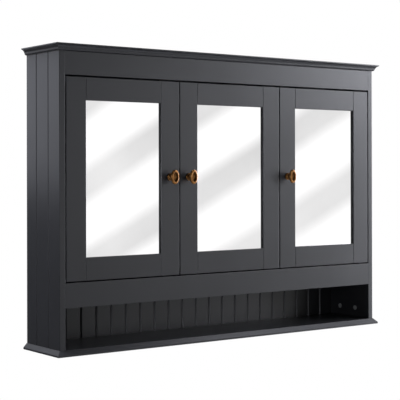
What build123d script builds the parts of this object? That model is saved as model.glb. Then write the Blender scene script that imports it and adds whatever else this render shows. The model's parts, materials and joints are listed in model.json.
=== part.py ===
from build123d import *
import math
import os

# A wall cabinet with three mirrored doors over an open niche.
# Millimetres. +X is right, -Y is the front, +Z is up. The origin is on the wall,
# midway between the two hanging screws.

# Carcass
WIDTH = 975.0             # over the two side panels
DEPTH = 156.0             # wall to the front edges of the side panels
PANEL_HEIGHT = 676.0      # side panels, which stand between the bottom and crown boards
BOARD = 15.0              # thickness of every plain board
NICHE_HEIGHT = 94.0       # open height under the lower fascia
LOWER_FASCIA = 57.0       # height of the rail below the doors
UPPER_FASCIA = 54.0       # height of the rail above the doors
ARRIS = 0.8               # softened edges of the boards
BACK = 5.0                # thickness of the grooved back panel
REBATE = 8.0              # width of the side panel's rebate that takes the back panel
FIT = 0.5                 # room left beside the back panel, the shelves and the dowels
SIDE_GROOVE = 4.0         # width of the V grooves in the sides, which are half as deep
BACK_GROOVE = 6.4         # and of those in the back panel
BACK_STRIPS = 22          # boards that the grooved back panel imitates
SIDE_GROOVE_ROWS = (52.0, 108.0)   # from the front edge, on the outside of each side panel

# Moulded boards at the top and bottom
CROWN = 16.0
CROWN_FRONT = 14.4        # overhang past the carcass
CROWN_SIDE = 14.0
CROWN_LIP = 2.8           # height of the square lip above the cove
BEAD = 4.8                # height of the quarter round under the cove
BEAD_OUT = 5.4            # how far the quarter round stands out from the carcass
BASE = 14.0
BASE_FRONT = 11.0
BASE_SIDE = 9.6
BASE_LIP = 4.2            # height of the square lip below the slope

# Doors, inset flush with the carcass
DOORS = 3
GAP = 2.5                 # beside and below each door
TOP_GAP = 3.5             # above each door
DOOR_DEPTH = 18.0
STILE = 52.5
RAIL = 53.0
LIP = 6.0                 # frame in front of the mirror
LAP = 8.0                 # how far the frame covers the mirror's edge
MIRROR = 4.0
BACKING = 3.0
TENON = 10.0              # length of the rails' tenons
TENON_DEPTH = 6.0
TENON_SHOULDER = 8.0      # solid wood left above and below a tenon
JOINT_GROOVE = 0.9        # chamfers that meet as a V where a rail meets a stile
HINGE_ARRIS = 1.5         # larger softening of the edge that turns past the side panel
CLEAR = 0.05              # radial room round pins, screws and dowels
KNOB_RISE = 3.5           # knob above the door's middle
KNOB_SCREW = (2.0, 4.0, 1.8)   # radius, head radius and head height
KNOB_SCREW_IN = 9.0       # how far the screw reaches into the knob
CLIP = 1.2                # thickness of the clips behind the mirror

# Hinges: a fixed arm reaches round the door's edge to a pin inside the cup
PIN_IN = 10.5             # pin axis from the door's hinge edge
PIN_BACK = 7.5            # pin axis behind the door's front face
PIN_RADIUS = 1.25
PIN_LENGTH = 22.0
BOSS_RADIUS = 2.2
CUP_IN = 22.5             # cup centre from the door's hinge edge
CUP_RADIUS = 17.5
CUP_BORE = 14.0
CUP_WALL = 0.8
RIM_RADIUS = 19.0
FLANGE = (20.0, 60.0)     # width and height of the cup's fixing flange
CHEEK = 4.8               # width of the two blocks that hold the pin
CHEEK_GAP = 15.2          # between the blocks
ARM = 2.2                 # thickness of the arm
ARM_WIDTH = 14.0
ARM_REACH = 24.5          # arm's bend, from the door's hinge edge
ARM_BACK = 27.0           # arm's return, behind the front face
ARM_END = 58.0
PLATE = 2.0
PLATE_START = 24.0
PLATE_WINGS = (50.0, 12.0)     # height and depth of the wings that are screwed on
PLATE_SCREWS = 32.0
PLATE_SCREW_BACK = 44.0
ARM_SCREW_BACK = 52.0
PLATE_SCREW = 1.75        # radius of the screws into the wall
ARM_SCREW = 2.0           # radius of the screw that clamps the arm
HINGE_FROM_END = 70.0     # hinge centre from the door's top or bottom

# Partition and shelves
PARTITION_SET_BACK = 23.0
SHELF_SET_BACK = 38.0
SHELF_PIN_ROWS = (58.0, 130.0)
SHELF_PIN_PITCH = 32.0
SHELF_PIN_RADIUS = 2.5
SHELF_PIN_IN = 7.0        # less than half the partition, which has pins in both faces
SHELF_PIN_OUT = 8.0
SHELVES_PER_SIDE = 2

# Fastenings
RAIL_HEIGHT = 60.0        # hanging rail
HANGING_SPACING = 800.0
HANGING_RADIUS = 3.25
CAM_ROWS = (52.5, 112.5)  # from the front edge
CAM_IN = 25.5             # cam centre from the end of its board
CAM_RADIUS = 6.0
CAM_BORE = 11.0
CAM_SLOT = 1.5            # depth of the cross that a screwdriver turns
BOLT_IN = 8.5             # thread of a cam bolt in the face of a board
DOWEL_ROW = 82.5
DOWEL_RADIUS = 4.0
DOWEL_LENGTH = 28.0
DOWEL_SHORT_END = 9.0     # part of a dowel that enters the face of a board
BACK_SCREW = (1.6, 3.2, 18.0)  # radius, head radius and length
BACK_SCREW_IN = 3.8       # from the side panels' inner faces
BACK_SCREW_ENDS = 40.0    # first screws from the ends of the side panels
CATCH_WIDTH = 36.0
CATCH_DEPTH = 11.0
CATCH_UP = 16.0           # above and below the door's top edge
CATCH_DOWN = 18.0
CATCH_FROM_EDGE = 27.0    # catch centre from the door's knob edge
CATCH_ROOM = 0.1          # between the catch and the strike plate
STRIKE = 1.0
STRIKE_HEIGHT = 14.0
STRIKE_DOWN = 2.0         # below the door's top edge

# Worked out from the sizes above
FRONT = -DEPTH
FLOOR = RAIL_HEIGHT / 2 - PANEL_HEIGHT
TOP = FLOOR + PANEL_HEIGHT
INNER = WIDTH / 2 - BOARD
FASCIA_BOTTOM = FLOOR + NICHE_HEIGHT
SHELF_FLOOR = FASCIA_BOTTOM + LOWER_FASCIA
FASCIA_TOP = TOP - UPPER_FASCIA
DOOR_BOTTOM = SHELF_FLOOR + GAP
DOOR_HEIGHT = FASCIA_TOP - TOP_GAP - DOOR_BOTTOM
DOOR_WIDTH = (2 * INNER - (DOORS + 1) * GAP) / DOORS
PARTITION_X = INNER - DOOR_WIDTH - 1.5 * GAP
BACK_FACE = -BACK
HINGE_HEIGHTS = (HINGE_FROM_END, DOOR_HEIGHT - HINGE_FROM_END)
REBATE_EDGE = STILE - LAP
TENON_FRONT = (LIP + DOOR_DEPTH - TENON_DEPTH) / 2
TENON_TOP = RAIL - LAP - TENON_SHOULDER
KNOB_IN = DOOR_WIDTH - STILE / 2
KNOB_HEIGHT = DOOR_HEIGHT / 2 + KNOB_RISE

LOW = (Align.MIN, Align.MIN, Align.MIN)
ON_END = (Align.CENTER, Align.CENTER, Align.MIN)


def block(x, y, z):
    """A box between the two limits given for each axis."""
    size = (abs(x[1] - x[0]), abs(y[1] - y[0]), abs(z[1] - z[0]))
    return Pos(min(x), min(y), min(z)) * Box(*size, align=LOW)


def rod(start, direction, radius, length):
    """A cylinder that starts at a point and runs along a direction."""
    return Plane(origin=start, z_dir=direction) * Cylinder(radius, length, align=ON_END)


def vee(start, direction, length, half_width):
    """A cutter for a V groove in a face, or for the bevel on an edge, that runs along an axis."""
    side = half_width * math.sqrt(2)
    bar = Rot(0, 0, 45) * Box(side, side, length, align=ON_END)
    return Plane(origin=start, z_dir=direction) * bar


def softened(points, radii):
    """A flat outline whose corners are rounded by the radius given for each, or left sharp."""
    face = make_face(Polyline(*points, close=True))
    for point, radius in zip(points, radii):
        if radius > 0:
            corner = face.vertices().sort_by_distance(Vector(*point))[0]
            face = fillet(corner, radius)
    return face


def behind(distance):
    """The Y of a plane that lies a distance behind the front of the carcass."""
    return FRONT + distance


# Moulded edges. Each outline runs from the middle of the board to its moulded edge,
# with the underside at zero.

def crown_outline(reach, overhang):
    """A quarter round under a shallow cove, with a square lip above."""
    edge = reach + overhang
    quirk = 0.6
    bead_start = (reach + 1.0, 0)
    bead_end = (reach + BEAD_OUT, BEAD)
    cove_start = (reach + BEAD_OUT + quirk, BEAD + quirk)
    cove_end = (edge - quirk, CROWN - CROWN_LIP)
    bead = SagittaArc(bead_start, bead_end, -1.3)
    step = Polyline(bead_end, (reach + BEAD_OUT, BEAD + quirk), cove_start)
    cove = SagittaArc(cove_start, cove_end, 1.4)
    rest = Polyline(cove_end, (edge, CROWN - CROWN_LIP), (edge, CROWN - ARRIS),
                    (edge - ARRIS, CROWN), (0, CROWN), (0, 0), bead_start)
    return make_face([bead, step, cove, rest])


def base_outline(reach, overhang):
    """A square lip under a straight slope."""
    edge = reach + overhang
    return make_face(Polyline((0, 0), (edge - ARRIS, 0), (edge, ARRIS), (edge, BASE_LIP),
                              (reach + ARRIS, BASE), (0, BASE), close=True))


def moulded_board(outline, front, side, underside):
    """A board moulded along its front and ends, with mitred corners."""
    across = Plane(origin=(0, 0, underside), x_dir=(0, -1, 0), z_dir=(-1, 0, 0))
    along = Plane(origin=(0, 0, underside), x_dir=(1, 0, 0), z_dir=(0, -1, 0))
    front_run = extrude(across * outline(DEPTH, front), amount=WIDTH / 2 + side, both=True)
    right_run = extrude(along * outline(WIDTH / 2, side), amount=DEPTH + front)
    return front_run & (right_run + mirror(right_run, about=Plane.YZ))


# Knock-down fittings. A fitting's frame has its origin on the joint, Z into the end of the
# board that holds the cam, and X towards the face that the cam is put in from.

def cam_frames():
    frames = []
    for side in (-1, 1):
        for row in CAM_ROWS:
            centre = side * (WIDTH / 2 - BOARD / 2)
            inward = (-side, 0, 0)
            frames.append(Plane(origin=(centre, behind(row), FLOOR), x_dir=inward, z_dir=(0, 0, 1)))
            frames.append(Plane(origin=(centre, behind(row), TOP), x_dir=inward, z_dir=(0, 0, -1)))
            level = SHELF_FLOOR - BOARD / 2
            frames.append(Plane(origin=(side * INNER, behind(row), level), x_dir=(0, 0, -1),
                                z_dir=inward))
    return frames


def cam_lock():
    seat = BOARD / 2
    height = CAM_BORE - 0.6
    slot_half, slot_reach, mouth_half = 0.6, 4.0, 3.3
    body = rod((seat - height, 0, CAM_IN), (1, 0, 0), CAM_RADIUS - 0.2, height)
    mouth = block((-mouth_half, mouth_half), (-mouth_half, mouth_half),
                  (CAM_IN - CAM_RADIUS, CAM_IN + 2.5))
    slot = block((seat - CAM_SLOT, seat), (-slot_reach, slot_reach), (CAM_IN - slot_half, CAM_IN + slot_half))
    cross = block((seat - CAM_SLOT, seat), (-slot_half, slot_half),
                  (CAM_IN - slot_reach, CAM_IN + slot_reach))
    return body - mouth - slot - cross


def cam_cover():
    thickness = 1.0
    disc = Cylinder(CAM_RADIUS + 0.3, thickness, align=ON_END)
    disc = fillet(disc.edges().group_by(Axis.Z)[-1], thickness / 2)
    return Pos(BOARD / 2, 0, CAM_IN) * Rot(0, 90, 0) * disc


def cam_bolt():
    """A bolt threaded into the face of one board, whose head lies inside the cam."""
    thread, shank, neck, head = 2.4, 3.2, 1.8, 2.9
    neck_start = CAM_IN - 6.5
    head_start = CAM_IN - 1.8
    tip = head_start + 3.0
    outline = Polyline((0, -BOLT_IN), (thread, -BOLT_IN + 0.5), (thread, 0), (shank, 0),
                       (shank, neck_start - 1.0), (neck, neck_start), (neck, head_start - 1.2),
                       (head, head_start), (head, head_start + 1.8), (neck, tip), (0, tip), close=True)
    return revolve(Plane.XZ * make_face(outline), axis=Axis.Z)


def cam_cutter():
    shank_bore, thread_bore = 3.5, 2.5
    bore = rod((BOARD / 2 - CAM_BORE, 0, CAM_IN), (1, 0, 0), CAM_RADIUS, CAM_BORE)
    shank = Cylinder(shank_bore, CAM_IN, align=ON_END)
    return bore + shank + rod((0, 0, 0), (0, 0, -1), thread_bore, BOLT_IN + FIT)


def dowel_axes():
    """A point on each dowelled joint, and the direction in which the dowel's long end runs."""
    axes = []
    for side in (-1, 1):
        centre = side * (WIDTH / 2 - BOARD / 2)
        inward = (-side, 0, 0)
        axes.append(((centre, behind(DOWEL_ROW), FLOOR), (0, 0, 1)))
        axes.append(((centre, behind(DOWEL_ROW), TOP), (0, 0, -1)))
        axes.append(((side * INNER, behind(DOWEL_ROW), SHELF_FLOOR - BOARD / 2), inward))
        for level in (FASCIA_BOTTOM + LOWER_FASCIA / 3, TOP - UPPER_FASCIA / 2):
            axes.append(((side * INNER, behind(BOARD / 2), level), inward))
        axes.append(((side * INNER, BACK_FACE - BOARD / 2, 0), inward))
    for row in CAM_ROWS:
        axes.append(((PARTITION_X, behind(row), SHELF_FLOOR), (0, 0, 1)))
    axes.append(((PARTITION_X, behind(DOWEL_ROW), TOP), (0, 0, -1)))
    return axes


def dowel(point, direction):
    start = Vector(*point) - Vector(*direction) * DOWEL_SHORT_END
    body = Cylinder(DOWEL_RADIUS, DOWEL_LENGTH, align=ON_END)
    body = chamfer(body.edges().filter_by(GeomType.CIRCLE), 0.8)
    return Plane(origin=start, z_dir=direction) * body


def dowel_hole(point, direction):
    start = Vector(*point) - Vector(*direction) * (DOWEL_SHORT_END + FIT)
    return rod(start, direction, DOWEL_RADIUS + CLEAR, DOWEL_LENGTH + 2 * FIT)


def spread(first, last, count):
    """Evenly spaced values from the first to the last."""
    return [first + step * (last - first) / (count - 1) for step in range(count)]


def back_screw_points():
    """Screws through the back panel into the boards in front of it."""
    points = []
    edge = INNER + BACK_SCREW_IN
    for side in (-1, 1):
        for level in spread(FLOOR + BACK_SCREW_ENDS, TOP - BACK_SCREW_ENDS, 5):
            points.append((side * edge, level))
    for x in spread(-INNER + 90, INNER - 90, 5):
        points.append((x, SHELF_FLOOR - BOARD / 2))
    for level in spread(SHELF_FLOOR + 90, -RAIL_HEIGHT, 3):
        points.append((PARTITION_X, level))
    for x in spread(-INNER + 30, INNER - 30, 5):
        points.append((x, 0))
    return points


def countersunk_screw(radius, head, length):
    """A screw along -Z from its flush head at the origin."""
    depth = head - radius
    outline = Polyline((0, 0), (head, 0), (radius, -depth), (radius, -length + 2), (0, -length), close=True)
    return revolve(Plane.XZ * make_face(outline), axis=Axis.Z)


def pan_screw(radius, head, head_height, length):
    """A screw along -Z whose domed head stands above the origin."""
    shank = rod((0, 0, 0), (0, 0, -1), radius, length)
    dome = Cylinder(head, head_height, align=ON_END)
    dome = fillet(dome.edges().group_by(Axis.Z)[-1], head_height * 0.6)
    slot = block((-head, head), (-0.5, 0.5), (head_height * 0.5, head_height))
    return shank + dome - slot


def back_screws():
    screw = Rot(-90, 0, 0) * countersunk_screw(*BACK_SCREW)
    return [Pos(x, 0, z) * screw for x, z in back_screw_points()]


def back_screw_holes():
    radius, head, length = BACK_SCREW
    hole = Rot(-90, 0, 0) * countersunk_screw(radius + CLEAR, head + CLEAR, length + FIT)
    return [Pos(x, 0, z) * hole for x, z in back_screw_points()]


def hanging_holes():
    return [rod((side * HANGING_SPACING / 2, 1, 0), (0, -1, 0), HANGING_RADIUS, 30) for side in (-1, 1)]


# Shelves

def shelf_undersides():
    clear = (TOP - SHELF_FLOOR) / (SHELVES_PER_SIDE + 1)
    return [SHELF_FLOOR + clear * (step + 1) - BOARD / 2 for step in range(SHELVES_PER_SIDE)]


def pin_walls():
    """The X of each wall that carries shelf pins, and the direction that it faces."""
    half = BOARD / 2
    return [(-INNER, 1), (PARTITION_X - half, -1), (PARTITION_X + half, 1), (INNER, -1)]


def shelf_pin():
    """A stepped peg along +Z, with the board's face at the origin."""
    peg = rod((0, 0, -SHELF_PIN_IN + FIT), (0, 0, 1), SHELF_PIN_RADIUS, SHELF_PIN_IN + SHELF_PIN_OUT - FIT)
    collar = Cylinder(SHELF_PIN_RADIUS, 1.2, align=ON_END)
    peg = chamfer(peg.edges().filter_by(GeomType.CIRCLE), 0.4)
    return peg + collar


def shelf_pins():
    pins = []
    for x, facing in pin_walls():
        for row in SHELF_PIN_ROWS:
            for underside in shelf_undersides():
                frame = Plane(origin=(x, behind(row), underside - SHELF_PIN_RADIUS), z_dir=(facing, 0, 0))
                pins.append(frame * shelf_pin())
    return pins


def shelf_pin_holes():
    """Three holes for each pin, so that a shelf can move up or down a step."""
    holes = []
    for x, facing in pin_walls():
        for row in SHELF_PIN_ROWS:
            for underside in shelf_undersides():
                for step in (-1, 0, 1):
                    z = underside - SHELF_PIN_RADIUS + step * SHELF_PIN_PITCH
                    start = (x, behind(row), z)
                    holes.append(rod(start, (-facing, 0, 0), SHELF_PIN_RADIUS + CLEAR, SHELF_PIN_IN))
    return holes


def shelf(x, underside):
    reach = (behind(SHELF_SET_BACK), BACK_FACE - FIT)
    board = block((x[0] + FIT, x[1] - FIT), reach, (underside, underside + BOARD))
    front = board.edges().filter_by(Axis.X).group_by(Axis.Y)[0]
    return fillet(front, ARRIS * 2)


# Hinges, drawn for a door whose hinge edge is at X zero, with its front face at Y zero and
# the hinge's centre at Z zero. The door runs towards +X.

def hinge_cup():
    rear = DOOR_DEPTH
    radius = CUP_RADIUS - CLEAR
    depth = CUP_BORE - 0.1
    at_cup = Plane(origin=(CUP_IN, rear, 0), x_dir=(1, 0, 0), z_dir=(0, -1, 0))
    outer = at_cup * Cylinder(radius, depth, align=ON_END)
    hollow = at_cup * Cylinder(radius - CUP_WALL, depth - CUP_WALL, align=ON_END)
    flange = at_cup * extrude(RectangleRounded(*FLANGE, 6), amount=-CUP_WALL)
    rim = at_cup * Pos(0, 0, -CUP_WALL) * Cylinder(RIM_RADIUS, CUP_WALL, align=ON_END)
    opening = at_cup * Pos(0, 0, -CUP_WALL) * Cylinder(radius - CUP_WALL, CUP_WALL, align=ON_END)
    cheeks = block((PIN_IN - CHEEK / 2, PIN_IN + CHEEK / 2), (rear - depth, PIN_BACK + BOSS_RADIUS),
                   (-CUP_RADIUS, CUP_RADIUS)) & outer
    cheeks = cheeks - block((0, STILE), (0, rear), (-CHEEK_GAP / 2, CHEEK_GAP / 2))
    cup = outer - hollow + flange + rim - opening + cheeks
    return cup - rod((PIN_IN, PIN_BACK, -CUP_RADIUS), (0, 0, 1), PIN_RADIUS, 2 * CUP_RADIUS)


def hinge_pin():
    return rod((PIN_IN, PIN_BACK, -PIN_LENGTH / 2), (0, 0, 1), PIN_RADIUS, PIN_LENGTH)


def hinge_arm(face):
    """The fixed arm, from the pin to a plate on a wall whose face is at the X given."""
    foot = face + PLATE + ARM / 2
    path = FilletPolyline((PIN_IN, PIN_BACK), (ARM_REACH, PIN_BACK), (ARM_REACH, ARM_BACK),
                          (foot, ARM_BACK), (foot, ARM_END), radius=2.0)
    strip = trace(path, line_width=ARM)
    arm = Pos(0, 0, -ARM_WIDTH / 2) * extrude(strip, amount=ARM_WIDTH)
    boss = rod((PIN_IN, PIN_BACK, -ARM_WIDTH / 2), (0, 0, 1), BOSS_RADIUS, ARM_WIDTH)
    eye = rod((PIN_IN, PIN_BACK, -ARM_WIDTH), (0, 0, 1), PIN_RADIUS + CLEAR, 2 * ARM_WIDTH)
    hole = rod((face, ARM_SCREW_BACK, 0), (1, 0, 0), ARM_SCREW + CLEAR, BOARD)
    return arm + boss - eye - hole


def hinge_plate(face):
    wing_height, wing_depth = PLATE_WINGS
    thickness = (face, face + PLATE)
    spine = block(thickness, (PLATE_START, ARM_END), (-ARM_WIDTH / 2, ARM_WIDTH / 2))
    wings = block(thickness, (PLATE_SCREW_BACK - wing_depth / 2, PLATE_SCREW_BACK + wing_depth / 2),
                  (-wing_height / 2, wing_height / 2))
    wings = fillet(wings.edges().filter_by(Axis.X), 4)
    plate = spine + wings
    for height in (-PLATE_SCREWS / 2, PLATE_SCREWS / 2):
        plate = plate - rod((face, PLATE_SCREW_BACK, height), (1, 0, 0), PLATE_SCREW + CLEAR, BOARD)
    return plate - rod((face, ARM_SCREW_BACK, 0), (1, 0, 0), ARM_SCREW + CLEAR, BOARD)


def hinge_screws(face):
    """Two wood screws through the plate, and one that clamps the arm on it."""
    outward = (1, 0, 0)
    screws = []
    for height in (-PLATE_SCREWS / 2, PLATE_SCREWS / 2):
        seat = Plane(origin=(face + PLATE, PLATE_SCREW_BACK, height), z_dir=outward)
        screws.append(seat * pan_screw(PLATE_SCREW, 3.6, 1.6, 12.0))
    seat = Plane(origin=(face + PLATE + ARM, ARM_SCREW_BACK, 0), z_dir=outward)
    screws.append(seat * pan_screw(ARM_SCREW, 3.8, 1.8, 9.0))
    return screws


def hinge_screw_holes(face):
    inward = (-1, 0, 0)
    holes = [rod((face, PLATE_SCREW_BACK, height), inward, PLATE_SCREW + CLEAR, 10.5)
             for height in (-PLATE_SCREWS / 2, PLATE_SCREWS / 2)]
    return holes + [rod((face, ARM_SCREW_BACK, 0), inward, ARM_SCREW + CLEAR, 6.0)]


# Door parts, drawn for a door whose hinge edge is at X zero, with its front face at Y zero
# and its bottom edge at Z zero. A stile and a rail meet on the front at the stile's edge, and
# behind the mirror's rebate further in, where the tenons are.

def stile_profile(outer_arris):
    points = [(0, 0), (STILE, 0), (STILE, LIP), (REBATE_EDGE, LIP), (REBATE_EDGE, DOOR_DEPTH),
              (0, DOOR_DEPTH)]
    return softened(points, [outer_arris, 0, 0, 0, 0, outer_arris])


def mortises():
    """Pockets in a stile for the tenons of both rails."""
    across = (REBATE_EDGE - TENON - FIT, REBATE_EDGE)
    through = (TENON_FRONT, TENON_FRONT + TENON_DEPTH)
    levels = [(TENON_SHOULDER, TENON_TOP), (DOOR_HEIGHT - TENON_TOP, DOOR_HEIGHT - TENON_SHOULDER)]
    return [block(across, through, level) for level in levels]


def plain_stile(outer_arris):
    stile = extrude(stile_profile(outer_arris), amount=DOOR_HEIGHT)
    along_mirror = vee((STILE, 0, 0), (0, 0, 1), DOOR_HEIGHT, JOINT_GROOVE)
    ends = [vee((0, 0, height), (1, 0, 0), STILE, ARRIS) for height in (0, DOOR_HEIGHT)]
    return stile - along_mirror - ends - mortises()


def hinge_stile():
    stile = plain_stile(HINGE_ARRIS)
    for height in HINGE_HEIGHTS:
        stile = stile - rod((CUP_IN, DOOR_DEPTH, height), (0, -1, 0), CUP_RADIUS, CUP_BORE)
    return stile


def knob_stile():
    stile = mirror(plain_stile(ARRIS), about=Plane.YZ)
    stile = Pos(DOOR_WIDTH, 0, 0) * stile
    return stile - rod((KNOB_IN, 0, KNOB_HEIGHT), (0, 1, 0), KNOB_SCREW[0] + CLEAR, DOOR_DEPTH)


def rail(bottom, under_mirror):
    """A door rail, with its rebate along the edge that meets the mirror."""
    length = DOOR_WIDTH - 2 * STILE
    along = (1, 0, 0)
    body = block((STILE, STILE + length), (0, DOOR_DEPTH), (0, RAIL - LAP))
    body += block((STILE, STILE + length), (0, LIP), (RAIL - LAP, RAIL))
    rear = (REBATE_EDGE, DOOR_WIDTH - REBATE_EDGE)
    body += block(rear, (LIP, DOOR_DEPTH), (0, RAIL - LAP))
    body += block((rear[0] - TENON, rear[1] + TENON), (TENON_FRONT, TENON_FRONT + TENON_DEPTH),
                  (TENON_SHOULDER, TENON_TOP))
    body = body - vee((STILE, 0, 0), along, length, ARRIS)
    body = body - vee((STILE, 0, RAIL), along, length, JOINT_GROOVE)
    for x in (STILE, STILE + length):
        body = body - vee((x, 0, 0), (0, 0, 1), RAIL, JOINT_GROOVE)
    if not under_mirror:
        body = Pos(0, 0, RAIL) * mirror(body, about=Plane.XY)
    return Pos(0, 0, bottom) * body


def glazing(front, thickness, room):
    """A sheet in the frame's rebate: the mirror, or the board behind it."""
    edge = LAP - room
    sheet = block((STILE - edge, DOOR_WIDTH - STILE + edge), (front, front + thickness),
                  (RAIL - edge, DOOR_HEIGHT - RAIL + edge))
    return sheet


def mirror_clips():
    """Small turned clips that hold the backing board against the frame."""
    half_width, foot_length, nose_length, step = 6.0, 9.0, 7.0, 0.5
    rear = DOOR_DEPTH + CLIP
    foot = block((-foot_length, step), (DOOR_DEPTH, rear), (-half_width, half_width))
    nose = block((step, nose_length), (LIP + MIRROR + BACKING, rear), (-half_width, half_width))
    head = rod((-foot_length / 2, rear, 0), (0, 1, 0), 2.6, 1.0)
    clip = foot + nose + head
    clips = []
    for height in (DOOR_HEIGHT * 0.36, DOOR_HEIGHT * 0.64):
        clips.append(Pos(REBATE_EDGE, 0, height) * clip)
        clips.append(Pos(DOOR_WIDTH - REBATE_EDGE, 0, height) * mirror(clip, about=Plane.YZ))
    clips.append(Pos(DOOR_WIDTH / 2, 0, RAIL - LAP) * Rot(0, -90, 0) * clip)
    clips.append(Pos(DOOR_WIDTH / 2, 0, DOOR_HEIGHT - RAIL + LAP) * Rot(0, 90, 0) * clip)
    return clips


def oval_loft(sections):
    """A smooth body through ovals, each given as (height, half across, half up)."""
    return loft([Pos(0, 0, height) * Ellipse(across, up) for height, across, up in sections])


def knob():
    """An oval knob with a thick rounded rim round a dished face, on a round stem and collar."""
    collar, step, waist, stem_top = 9.0, 6.8, 5.2, 15.5
    foot_side = Polyline((0, 0), (collar, 0), (collar, 2.4), (collar - 1.0, 3.4), (step, 3.4), (step, 4.4))
    waist_side = SagittaArc((step, 4.4), (waist, stem_top), 1.9)
    top = Polyline((waist, stem_top), (0, stem_top), (0, 0))
    foot = revolve(Plane.XZ * make_face([foot_side, waist_side, top]), axis=Axis.Z)
    head = oval_loft([(14.2, 5.0, 9.5), (15.6, 8.4, 14.2), (17.4, 10.4, 16.8), (19.4, 11.0, 17.5),
                      (21.2, 10.7, 17.2), (22.7, 9.6, 16.1), (23.6, 8.2, 14.5)])
    dish = oval_loft([(18.6, 3.6, 7.6), (20.2, 4.9, 9.6), (22.2, 6.0, 11.3), (24.0, 7.3, 13.2)])
    screw_hole = Cylinder(KNOB_SCREW[0] + CLEAR, KNOB_SCREW_IN + FIT, align=ON_END)
    outward = Plane(origin=(KNOB_IN, 0, KNOB_HEIGHT), x_dir=(1, 0, 0), z_dir=(0, -1, 0))
    return outward * (foot + head - dish - screw_hole)


def knob_screw():
    seat = Plane(origin=(KNOB_IN, DOOR_DEPTH, KNOB_HEIGHT), z_dir=(0, 1, 0))
    return seat * pan_screw(*KNOB_SCREW, DOOR_DEPTH + KNOB_SCREW_IN)


def strike_plate():
    """The steel plate on the door that the magnetic catch holds."""
    centre = DOOR_WIDTH - CATCH_FROM_EDGE
    top = DOOR_HEIGHT - STRIKE_DOWN
    plate = block((centre - CATCH_WIDTH / 2, centre + CATCH_WIDTH / 2), (DOOR_DEPTH, DOOR_DEPTH + STRIKE),
                  (top - STRIKE_HEIGHT, top))
    return fillet(plate.edges().filter_by(Axis.Y), 3)


def magnetic_catch():
    """The catch behind the upper fascia, which reaches down behind the door's top edge."""
    centre = DOOR_WIDTH - CATCH_FROM_EDGE
    across = (centre - CATCH_WIDTH / 2, centre + CATCH_WIDTH / 2)
    face = DOOR_DEPTH + STRIKE + CATCH_ROOM
    rear = face + CATCH_DEPTH
    fascia_edge = DOOR_HEIGHT + TOP_GAP
    upper = block(across, (BOARD, rear), (fascia_edge + ARRIS, fascia_edge + CATCH_UP))
    lower = block(across, (face, rear), (DOOR_HEIGHT - CATCH_DOWN, fascia_edge + CATCH_UP))
    return chamfer((upper + lower).edges().filter_by(Axis.Z).group_by(Axis.Y)[-1], 2)


def door_frame(hinge_x, turned):
    """Where a door's own drawing goes. A turned door has its hinges on the right."""
    def put(shape):
        if turned:
            shape = mirror(shape, about=Plane.YZ)
        return Pos(hinge_x, FRONT, DOOR_BOTTOM) * shape
    return put


# The left door hangs on the left side panel, the middle one on the partition and the right
# one on the right side panel. The last value is the hinge wall's face, from the door's edge.
DOOR_PLACES = {
    "left": (door_frame(-INNER + GAP, False), -GAP),
    "middle": (door_frame(PARTITION_X - GAP / 2, True), BOARD / 2 - GAP / 2),
    "right": (door_frame(INNER - GAP, True), -GAP),
}


def at_hinges(shapes):
    return [Pos(0, 0, height) * shape for height in HINGE_HEIGHTS for shape in shapes]


def door_parts(name, put):
    parts = {
        "hinge_stile": [hinge_stile()],
        "knob_stile": [knob_stile()],
        "bottom_rail": [rail(0, True)],
        "top_rail": [rail(DOOR_HEIGHT - RAIL, False)],
        "mirror": [glazing(LIP, MIRROR, 1.0)],
        "backing_board": [glazing(LIP + MIRROR, BACKING, 0.6)],
        "mirror_clips": mirror_clips(),
        "knob": [knob()],
        "knob_screw": [knob_screw()],
        "hinge_cups": at_hinges([hinge_cup()]),
        "hinge_pins": at_hinges([hinge_pin()]),
        "strike_plate": [strike_plate()],
    }
    return {f"{name}_{part}": [put(shape) for shape in shapes] for part, shapes in parts.items()}


def hinge_fittings():
    """The fixed halves of all six hinges, and the holes that they need."""
    arms, plates, screws, holes = [], [], [], []
    for put, face in DOOR_PLACES.values():
        arms += [put(shape) for shape in at_hinges([hinge_arm(face)])]
        plates += [put(shape) for shape in at_hinges([hinge_plate(face)])]
        screws += [put(shape) for shape in at_hinges(hinge_screws(face))]
        holes += [put(shape) for shape in at_hinges(hinge_screw_holes(face))]
    return arms, plates, screws, holes


# Boards, before they are drilled

def side_panel(side):
    outer = side * WIDTH / 2
    inner = side * INNER
    points = [(outer, FRONT), (inner, FRONT), (inner, BACK_FACE), (inner + side * REBATE, BACK_FACE),
              (inner + side * REBATE, 0), (outer, 0)]
    face = softened(points, [ARRIS * 1.5, ARRIS, 0, 0, 0, ARRIS])
    panel = Pos(0, 0, FLOOR) * extrude(face, amount=PANEL_HEIGHT, dir=(0, 0, 1))
    cuts = [vee((outer, behind(row), FLOOR), (0, 0, 1), PANEL_HEIGHT, SIDE_GROOVE / 2)
            for row in SIDE_GROOVE_ROWS]
    return panel - cuts


def back_panel():
    half = INNER + REBATE - FIT
    panel = block((-half, half), (BACK_FACE, 0), (FLOOR, TOP))
    pitch = 2 * INNER / BACK_STRIPS
    cuts = [vee((-INNER + pitch * step, BACK_FACE, FLOOR), (0, 0, 1), PANEL_HEIGHT, BACK_GROOVE / 2)
            for step in range(1, BACK_STRIPS)]
    return panel - cuts


def fascia(bottom, top):
    board = block((-INNER, INNER), (FRONT, behind(BOARD)), (bottom, top))
    return fillet(board.edges().filter_by(Axis.X).group_by(Axis.Y)[0], ARRIS)


def partition():
    half = BOARD / 2
    board = block((PARTITION_X - half, PARTITION_X + half), (behind(PARTITION_SET_BACK), BACK_FACE),
                  (SHELF_FLOOR, TOP))
    board = fillet(board.edges().filter_by(Axis.Z).group_by(Axis.Y)[0], ARRIS)
    return board - block((PARTITION_X - BOARD, PARTITION_X + BOARD), (BACK_FACE - BOARD, 0),
                         (-RAIL_HEIGHT / 2, TOP))


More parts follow.
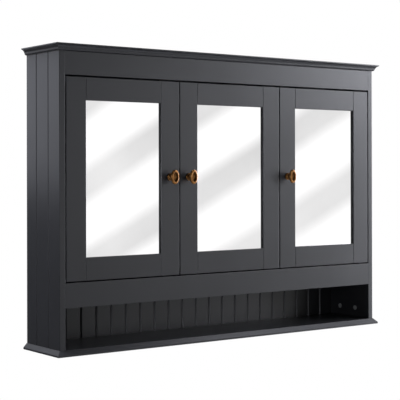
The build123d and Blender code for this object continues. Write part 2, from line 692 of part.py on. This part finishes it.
def carcass(holes):
    boards = {
        "left_side_panel": side_panel(-1),
        "right_side_panel": side_panel(1),
        "partition": partition(),
        "crown_board": moulded_board(crown_outline, CROWN_FRONT, CROWN_SIDE, TOP),
        "bottom_board": moulded_board(base_outline, BASE_FRONT, BASE_SIDE, FLOOR - BASE),
        "upper_fascia": fascia(FASCIA_TOP, TOP),
        "lower_fascia": fascia(FASCIA_BOTTOM, SHELF_FLOOR),
        "cabinet_floor": block((-INNER, INNER), (behind(BOARD), BACK_FACE),
                               (SHELF_FLOOR - BOARD, SHELF_FLOOR)),
        "back_panel": back_panel(),
        "hanging_rail": block((-INNER, INNER), (BACK_FACE - BOARD, BACK_FACE),
                              (-RAIL_HEIGHT / 2, TOP)),
    }
    return {name: [board - holes] for name, board in boards.items()}


def shelves():
    spans = {"wide": (-INNER, PARTITION_X - BOARD / 2), "narrow": (PARTITION_X + BOARD / 2, INNER)}
    parts = {}
    for span_name, span in spans.items():
        for place, underside in zip(("lower", "upper"), shelf_undersides()):
            parts[f"{place}_{span_name}_shelf"] = [shelf(span, underside)]
    return parts


def model():
    arms, plates, screws, screw_holes = hinge_fittings()
    holes = [frame * cam_cutter() for frame in cam_frames()]
    holes += [dowel_hole(point, direction) for point, direction in dowel_axes()]
    holes += shelf_pin_holes() + back_screw_holes() + hanging_holes() + screw_holes
    parts = carcass(holes)
    parts.update(shelves())
    parts["shelf_pins"] = shelf_pins()
    parts["cam_locks"] = [frame * cam_lock() for frame in cam_frames()]
    parts["cam_covers"] = [frame * cam_cover() for frame in cam_frames()]
    parts["cam_bolts"] = [frame * cam_bolt() for frame in cam_frames()]
    parts["dowels"] = [dowel(point, direction) for point, direction in dowel_axes()]
    parts["back_panel_screws"] = back_screws()
    parts["magnetic_catches"] = [put(magnetic_catch()) for put, face in DOOR_PLACES.values()]
    parts["hinge_arms"] = arms
    parts["hinge_plates"] = plates
    parts["hinge_plate_screws"] = screws
    for name, (put, face) in DOOR_PLACES.items():
        parts.update(door_parts(name, put))
    return parts


os.makedirs("parts", exist_ok=True)
for part_name, solids in model().items():
    shape = solids[0] if len(solids) == 1 else Compound(children=solids)
    export_step(shape, f"parts/{part_name}.step")
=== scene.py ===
import json
import math

import bpy
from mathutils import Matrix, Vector


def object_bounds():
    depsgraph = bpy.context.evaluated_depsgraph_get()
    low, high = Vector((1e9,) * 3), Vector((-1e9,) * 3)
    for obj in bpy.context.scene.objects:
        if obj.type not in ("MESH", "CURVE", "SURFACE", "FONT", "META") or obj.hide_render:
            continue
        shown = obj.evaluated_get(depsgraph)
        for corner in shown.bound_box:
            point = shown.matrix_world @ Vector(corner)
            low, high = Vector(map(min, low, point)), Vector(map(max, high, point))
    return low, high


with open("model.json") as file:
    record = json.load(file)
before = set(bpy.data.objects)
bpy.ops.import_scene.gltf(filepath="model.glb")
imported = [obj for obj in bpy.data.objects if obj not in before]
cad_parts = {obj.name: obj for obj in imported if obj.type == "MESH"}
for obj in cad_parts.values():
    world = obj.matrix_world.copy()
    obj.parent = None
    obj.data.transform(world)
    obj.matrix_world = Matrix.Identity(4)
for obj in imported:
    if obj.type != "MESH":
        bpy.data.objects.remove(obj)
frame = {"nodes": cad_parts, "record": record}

CAD_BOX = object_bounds()
NODES = frame["nodes"]
SLOTS = {row["node"]: row["material_slot"] for row in frame["record"]["subparts"]}
# Samples of the ambient occlusion that places the painted shade in corners and grooves.
SHADE_SAMPLES = 8


# Shader helpers

def new_material(name):
    """A material with an empty tree, its Principled shader and its output."""
    material = bpy.data.materials.new(name)
    material.use_nodes = True
    tree = material.node_tree
    tree.nodes.clear()
    shader = tree.nodes.new("ShaderNodeBsdfPrincipled")
    output = tree.nodes.new("ShaderNodeOutputMaterial")
    tree.links.new(shader.outputs["BSDF"], output.inputs["Surface"])
    return material, tree, shader


def position(tree, scale=(1, 1, 1), turn=(0, 0, 0)):
    """Object coordinates, which are metres in the row's frame on every CAD node."""
    coordinates = tree.nodes.new("ShaderNodeTexCoord")
    mapping = tree.nodes.new("ShaderNodeMapping")
    mapping.inputs["Scale"].default_value = scale
    mapping.inputs["Rotation"].default_value = turn
    tree.links.new(coordinates.outputs["Object"], mapping.inputs["Vector"])
    return mapping.outputs["Vector"]


def noise(tree, vector, scale, detail=3.0, roughness=0.55, distortion=0.0):
    """Fractal noise, mostly between 0.3 and 0.7."""
    node = tree.nodes.new("ShaderNodeTexNoise")
    node.inputs["Scale"].default_value = scale
    node.inputs["Detail"].default_value = detail
    node.inputs["Roughness"].default_value = roughness
    node.inputs["Distortion"].default_value = distortion
    tree.links.new(vector, node.inputs["Vector"])
    return node.outputs["Fac"]


def ramp(tree, factor, stops):
    """A colour ramp through (place, colour) stops."""
    node = tree.nodes.new("ShaderNodeValToRGB")
    elements = node.color_ramp.elements
    while len(elements) < len(stops):
        elements.new(0.5)
    for element, (place, colour) in zip(elements, stops):
        element.position = place
        element.color = (*colour, 1)
    tree.links.new(factor, node.inputs["Fac"])
    return node.outputs["Color"]


def remap(tree, value, low, high, from_low=0.3, from_high=0.7):
    """A value between from_low and from_high, stretched to run from low to high."""
    node = tree.nodes.new("ShaderNodeMapRange")
    node.inputs["From Min"].default_value = from_low
    node.inputs["From Max"].default_value = from_high
    node.inputs["To Min"].default_value = low
    node.inputs["To Max"].default_value = high
    tree.links.new(value, node.inputs["Value"])
    return node.outputs["Result"]


def mixed(tree, factor, first, second):
    """Two colours mixed by a factor, where each may be a link or a constant."""
    node = tree.nodes.new("ShaderNodeMix")
    node.data_type = "RGBA"
    for name, value in (("Factor", factor), ("A", first), ("B", second)):
        socket = [s for s in node.inputs if s.name == name and s.enabled][0]
        if isinstance(value, bpy.types.NodeSocket):
            tree.links.new(value, socket)
        elif name == "Factor":
            socket.default_value = value
        else:
            socket.default_value = (*value, 1)
    return [s for s in node.outputs if s.enabled][0]


def bump(tree, shader, layers):
    """Chained bumps, each (height, strength, distance in metres)."""
    normal = None
    for height, strength, distance in layers:
        node = tree.nodes.new("ShaderNodeBump")
        node.inputs["Strength"].default_value = strength
        node.inputs["Distance"].default_value = distance
        tree.links.new(height, node.inputs["Height"])
        if normal:
            tree.links.new(normal, node.inputs["Normal"])
        normal = node.outputs["Normal"]
    tree.links.new(normal, shader.inputs["Normal"])


def painted_shade_factor(tree, distance, low, high):
    """A factor for painted shade: 1 on open faces, falling to 0 deep in corners and grooves, where ambient
    occlusion finds shade.
    """
    node = tree.nodes.new("ShaderNodeAmbientOcclusion")
    node.samples = SHADE_SAMPLES
    node.inputs["Distance"].default_value = distance
    return remap(tree, node.outputs["AO"], 0, 1, from_low=low, from_high=high)


# Materials, one for each slot of the record

def painted_board():
    """Satin anthracite paint, sprayed on board, with painted shade darkening its corners and grooves. The
    top of the crown has a thin, dull coat.
    """
    material, tree, shader = new_material("satin_anthracite_paint")
    place = position(tree)
    drift = noise(tree, place, 3.0, 2.0)
    speckle = noise(tree, place, 900.0, 2.0)
    base = ramp(tree, drift, [(0.3, (0.0147, 0.0151, 0.0166)), (0.7, (0.0180, 0.0185, 0.0202))])
    flecked = mixed(tree, remap(tree, speckle, 0.0, 0.12), base, (0.05, 0.052, 0.058))
    # Painted shade: the paint's colour falls to near-black deep in corners and grooves.
    unshaded = painted_shade_factor(tree, 0.007, 0.4, 0.85)
    colour = mixed(tree, unshaded, (0.004, 0.0042, 0.0048), flecked)
    tree.links.new(colour, shader.inputs["Base Color"])
    satin = remap(tree, noise(tree, place, 14.0, 4.0), 0.295, 0.325)
    height = tree.nodes.new("ShaderNodeSeparateXYZ")
    tree.links.new(place, height.inputs["Vector"])
    crown_top = CAD_BOX[1][2]
    dullness = remap(tree, height.outputs["Z"], 0, 0.5, crown_top - 0.0006, crown_top - 0.0002)
    roughness = tree.nodes.new("ShaderNodeMath")
    roughness.operation = "ADD"
    tree.links.new(satin, roughness.inputs[0])
    tree.links.new(dullness, roughness.inputs[1])
    tree.links.new(roughness.outputs["Value"], shader.inputs["Roughness"])
    shader.inputs["Specular IOR Level"].default_value = 0.42
    orange_peel = noise(tree, place, 420.0, 2.0)
    bump(tree, shader, [(orange_peel, 0.10, 0.0006), (speckle, 0.05, 0.0003)])
    return material


def mirror_glass():
    """Silvered glass, with the faintest haze."""
    material, tree, shader = new_material("silvered_glass")
    place = position(tree)
    haze = noise(tree, place, 22.0, 5.0, 0.6)
    tree.links.new(ramp(tree, haze, [(0.3, (0.935, 0.93, 0.932)), (0.7, (0.955, 0.95, 0.952))]),
                   shader.inputs["Base Color"])
    tree.links.new(remap(tree, haze, 0.006, 0.022), shader.inputs["Roughness"])
    shader.inputs["Metallic"].default_value = 1.0
    return material


def hardboard():
    """Pressed brown board with a fibrous face."""
    material, tree, shader = new_material("pressed_hardboard")
    place = position(tree)
    fibres = noise(tree, position(tree, (1, 1, 0.25)), 700.0, 5.0, 0.7, 0.6)
    clouds = noise(tree, place, 18.0, 3.0)
    base = ramp(tree, fibres, [(0.3, (0.13, 0.07, 0.035)), (0.5, (0.22, 0.125, 0.065)),
                               (0.72, (0.31, 0.19, 0.105))])
    tree.links.new(mixed(tree, remap(tree, clouds, 0.0, 0.3), base, (0.16, 0.09, 0.045)),
                   shader.inputs["Base Color"])
    tree.links.new(remap(tree, fibres, 0.55, 0.8), shader.inputs["Roughness"])
    bump(tree, shader, [(fibres, 0.25, 0.0004)])
    return material


def aged_copper():
    """Copper with a mottled patina, and painted shade that darkens its hollows against its brighter rims."""
    material, tree, shader = new_material("aged_copper")
    place = position(tree)
    patina = noise(tree, place, 160.0, 5.0, 0.65)
    fine = noise(tree, place, 1400.0, 3.0)
    worn = ramp(tree, patina, [(0.3, (0.15, 0.062, 0.018)), (0.55, (0.36, 0.17, 0.055)),
                               (0.75, (0.58, 0.32, 0.125))])
    # Painted shade: the copper's colour falls to near-black deep in the knob's hollows.
    unshaded = painted_shade_factor(tree, 0.012, 0.6, 0.98)
    colour = mixed(tree, unshaded, (0.035, 0.016, 0.006), worn)
    tree.links.new(colour, shader.inputs["Base Color"])
    tree.links.new(remap(tree, patina, 0.29, 0.36), shader.inputs["Roughness"])
    shader.inputs["Metallic"].default_value = 1.0
    bump(tree, shader, [(patina, 0.12, 0.0005), (fine, 0.06, 0.0002)])
    return material


def plated_metal(name, dark, light, rough, grain):
    """A plated steel or zinc fitting, faintly brushed."""
    material, tree, shader = new_material(name)
    streaks = noise(tree, position(tree, (1, 1, 0.08)), grain, 4.0, 0.6)
    cloud = noise(tree, position(tree), 90.0, 3.0)
    tree.links.new(ramp(tree, cloud, [(0.3, dark), (0.7, light)]), shader.inputs["Base Color"])
    tree.links.new(remap(tree, streaks, rough - 0.06, rough + 0.08), shader.inputs["Roughness"])
    shader.inputs["Metallic"].default_value = 1.0
    bump(tree, shader, [(streaks, 0.08, 0.0002)])
    return material


def moulded_plastic(name, low, high, rough):
    """Moulded plastic with a fine spark-eroded texture."""
    material, tree, shader = new_material(name)
    place = position(tree)
    texture = noise(tree, place, 1600.0, 2.0)
    cloud = noise(tree, place, 60.0, 2.0)
    tree.links.new(ramp(tree, cloud, [(0.3, low), (0.7, high)]), shader.inputs["Base Color"])
    tree.links.new(remap(tree, texture, rough - 0.05, rough + 0.05), shader.inputs["Roughness"])
    bump(tree, shader, [(texture, 0.15, 0.0002)])
    return material


def beech():
    """Turned beech with a fine straight grain and short rays."""
    material, tree, shader = new_material("turned_beech")
    grain = noise(tree, position(tree, (1, 1, 0.12)), 520.0, 6.0, 0.65, 0.8)
    rays = noise(tree, position(tree, (1, 1, 0.3)), 2100.0, 2.0)
    base = ramp(tree, grain, [(0.3, (0.48, 0.31, 0.17)), (0.5, (0.60, 0.42, 0.25)),
                              (0.7, (0.68, 0.50, 0.32))])
    tree.links.new(mixed(tree, remap(tree, rays, 0.0, 0.25, 0.5, 0.75), base, (0.36, 0.21, 0.11)),
                   shader.inputs["Base Color"])
    tree.links.new(remap(tree, grain, 0.5, 0.65), shader.inputs["Roughness"])
    bump(tree, shader, [(grain, 0.2, 0.0003)])
    return material


MATERIALS = {
    "painted_board": painted_board(),
    "mirror_glass": mirror_glass(),
    "hardboard": hardboard(),
    "aged_copper": aged_copper(),
    "plated_steel": plated_metal("nickel_plate", (0.50, 0.49, 0.46), (0.66, 0.65, 0.61), 0.28, 900.0),
    "zinc": plated_metal("zinc_plate", (0.40, 0.41, 0.43), (0.56, 0.57, 0.59), 0.42, 700.0),
    "cover_plastic": moulded_plastic("grey_cover_plastic", (0.22, 0.225, 0.22), (0.27, 0.275, 0.27), 0.5),
    "catch_plastic": moulded_plastic("dark_catch_plastic", (0.018, 0.018, 0.02), (0.028, 0.028, 0.03), 0.45),
    "beech": beech(),
}


def dress_nodes():
    """Gives every CAD node the material of its slot."""
    for name, node in NODES.items():
        node.data.materials.clear()
        node.data.materials.append(MATERIALS[SLOTS[name]])


# Studio. The camera stands to the left of the cabinet, level with its lower half.

CAMERA_PLACE = Vector((-1.7791, -2.4553, -0.2436))
CAMERA_TURN = (math.radians(90.103), math.radians(0.118), math.radians(-36.197))
FOCAL_LENGTH = 104.98
CAMERA_SHIFT = -0.0765
LIT_POINT = Vector((0, -0.15, -0.3))
COOL_WHITE = (0.96, 0.975, 1.065)

# Softboxes: name, azimuth and elevation in degrees, distance and size in metres, power in watts.
LIGHTS = [
    ("key", 63, 39, 2.0, 1.0, 11.0),
    ("near_right", 78, 16, 2.0, 0.8, 6.0),
    ("right", 68, 6, 2.9, 1.0, 18.0),
    ("low_right", 68, -8, 2.8, 0.9, 16.0),
    ("mid_right", 55, 16, 4.0, 1.2, 52.0),
    ("far_right", 72, 0, 5.0, 2.0, 62.0),
    ("left_front", -55, 0, 2.6, 0.4, 9.0),
    ("left_back", -113, 50, 1.7, 0.9, 74.0),
    ("low_left_back", -140, 11, 1.6, 0.6, 1.2),
]

FLOOR_HEIGHT = -1.9       # a cabinet at eye level hangs about this far above its floor
FLOOR_HALF = 30.0

CARD_PLACE = (3.75, -4.95, -0.3)
CARD_TARGET = (0, 0, -0.3)
CARD_HALF_WIDTH = 1.95
CARD_HALF_HEIGHT = 1.3
BAND_SLOPE = math.radians(-31.8)
BAND_PHASE = 5.8          # slides the soft bands in the mirrors along their card


def add_plane(name, half_width, half_height, height=0.0):
    """A flat rectangle about its own origin."""
    mesh = bpy.data.meshes.new(name)
    corners = [(-half_width, -half_height, height), (half_width, -half_height, height),
               (half_width, half_height, height), (-half_width, half_height, height)]
    mesh.from_pydata(corners, [], [(0, 1, 2, 3)])
    plane = bpy.data.objects.new(name, mesh)
    bpy.context.scene.collection.objects.link(plane)
    return plane


def add_camera():
    data = bpy.data.cameras.new("camera")
    data.lens = FOCAL_LENGTH
    data.sensor_width = 36.0
    data.shift_y = CAMERA_SHIFT
    data.clip_end = 60.0
    camera = bpy.data.objects.new("camera", data)
    camera.location = CAMERA_PLACE
    camera.rotation_euler = CAMERA_TURN
    bpy.context.scene.collection.objects.link(camera)
    bpy.context.scene.camera = camera


def aim(item, target):
    item.rotation_euler = (Vector(target) - item.location).to_track_quat("-Z", "Y").to_euler()


def add_light(name, azimuth, elevation, distance, size, power):
    """A square softbox aimed at the cabinet. Azimuth is in degrees from the front, to the right."""
    across, up = math.radians(azimuth), math.radians(elevation)
    outward = Vector((math.sin(across) * math.cos(up), -math.cos(across) * math.cos(up), math.sin(up)))
    data = bpy.data.lights.new(name, "AREA")
    data.shape = "SQUARE"
    data.size = size
    data.energy = power
    data.color = COOL_WHITE
    light = bpy.data.objects.new(name, data)
    light.location = LIT_POINT + outward * distance
    aim(light, LIT_POINT)
    bpy.context.scene.collection.objects.link(light)


def seen_white(tree, other, output):
    """Pure white where the camera looks straight at a thing, and the other shader for all else."""
    in_world = other.node.type == "BACKGROUND"
    white = tree.nodes.new("ShaderNodeBackground" if in_world else "ShaderNodeEmission")
    white.inputs["Color"].default_value = (1, 1, 1, 1)
    white.inputs["Strength"].default_value = 1.0
    path = tree.nodes.new("ShaderNodeLightPath")
    mix = tree.nodes.new("ShaderNodeMixShader")
    tree.links.new(path.outputs["Is Camera Ray"], mix.inputs["Fac"])
    tree.links.new(other, mix.inputs[1])
    tree.links.new(white.outputs[0], mix.inputs[2])
    tree.links.new(mix.outputs["Shader"], output)


def add_floor():
    """A wide pale floor under the hung cabinet."""
    floor = add_plane("floor", FLOOR_HALF, FLOOR_HALF, FLOOR_HEIGHT)
    material, tree, shader = new_material("pale_floor")
    tone = noise(tree, position(tree), 0.6, 2.0)
    tree.links.new(ramp(tree, tone, [(0.3, (0.72, 0.72, 0.72)), (0.7, (0.76, 0.76, 0.76))]),
                   shader.inputs["Base Color"])
    shader.inputs["Roughness"].default_value = 0.9
    output = [node for node in tree.nodes if node.type == "OUTPUT_MATERIAL"][0]
    seen_white(tree, shader.outputs["BSDF"], output.inputs["Surface"])
    floor.data.materials.append(material)


def add_world():
    """White where the camera sees it, and a faint even light on the object."""
    world = bpy.data.worlds.new("studio")
    bpy.context.scene.world = world
    world.use_nodes = True
    tree = world.node_tree
    tree.nodes.clear()
    faint = tree.nodes.new("ShaderNodeBackground")
    faint.inputs["Color"].default_value = (1, 1, 1, 1)
    faint.inputs["Strength"].default_value = 0.06
    output = tree.nodes.new("ShaderNodeOutputWorld")
    seen_white(tree, faint.outputs["Background"], output.inputs["Surface"])


def banded_glow():
    """Pale grey bands of uneven depth on glowing white."""
    material = bpy.data.materials.new("card_glow")
    material.use_nodes = True
    tree = material.node_tree
    tree.nodes.clear()
    glow = tree.nodes.new("ShaderNodeEmission")
    output = tree.nodes.new("ShaderNodeOutputMaterial")
    tree.links.new(glow.outputs["Emission"], output.inputs["Surface"])
    place = position(tree, turn=(0, 0, BAND_SLOPE))
    bands = tree.nodes.new("ShaderNodeTexWave")
    bands.bands_direction = "Y"
    bands.inputs["Scale"].default_value = 0.60
    bands.inputs["Distortion"].default_value = 1.6
    bands.inputs["Detail"].default_value = 1.0
    bands.inputs["Detail Scale"].default_value = 0.5
    bands.inputs["Phase Offset"].default_value = BAND_PHASE
    tree.links.new(place, bands.inputs["Vector"])
    white = ramp(tree, bands.outputs["Fac"], [(0.12, (0, 0, 0)), (0.62, (1, 1, 1))])
    patchy = remap(tree, noise(tree, place, 1.1, 1.0), 0.72, 0.90)
    strength = tree.nodes.new("ShaderNodeMapRange")
    strength.inputs["To Max"].default_value = 1.12
    tree.links.new(white, strength.inputs["Value"])
    tree.links.new(patchy, strength.inputs["To Min"])
    tree.links.new(strength.outputs["Result"], glow.inputs["Color"])
    return material


def add_card():
    """A white card with soft diagonal bands, which only the mirrors and the gloss see."""
    card = add_plane("mirror_card", CARD_HALF_WIDTH, CARD_HALF_HEIGHT)
    card.location = CARD_PLACE
    aim(card, CARD_TARGET)
    card.visible_camera = False
    card.visible_diffuse = False
    card.visible_shadow = False
    card.data.materials.append(banded_glow())


def light_studio():
    add_world()
    add_floor()
    add_card()
    for light in LIGHTS:
        add_light(*light)
    bpy.context.scene.view_settings.view_transform = "Standard"


dress_nodes()
add_camera()
light_studio()
